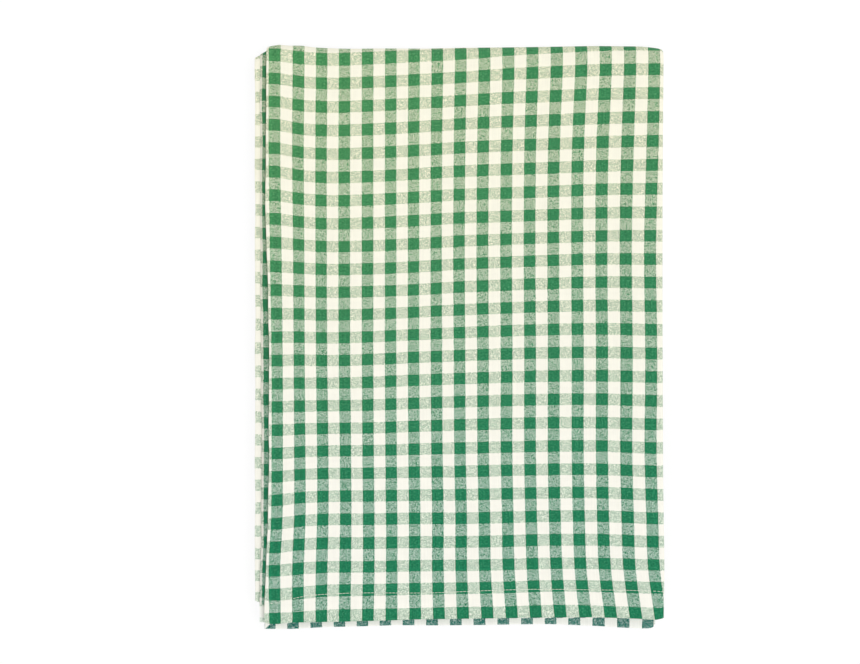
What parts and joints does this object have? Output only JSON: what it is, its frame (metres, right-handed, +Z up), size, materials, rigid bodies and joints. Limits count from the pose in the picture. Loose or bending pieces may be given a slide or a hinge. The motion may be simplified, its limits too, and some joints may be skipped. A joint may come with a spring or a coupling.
{
  "type": "folded gingham tablecloth",
  "caption": "Rectangular hemmed cotton tablecloth in green and cream gingham, folded in quarters both ways into a flat stack.",
  "frame": {"origin": "under the middle of the folded cloth, on the surface it lies on", "axes": "+Z up through the layers, +Y from the end hem that shows to the crosswise fold, +X from the side hems to the right-hand fold"},
  "size_m": [0.3582, 0.5106, 0.0213],
  "materials": {
    "gingham": "matte yarn-dyed cotton in a plain weave: green and cream checks, with two paler greens where the stripes cross",
    "hem_thread": "pale cream sewing thread in a straight lockstitch"
  },
  "bodies": {
    "root": {"tablecloth": "gingham"}
  },
  "joints": []
}
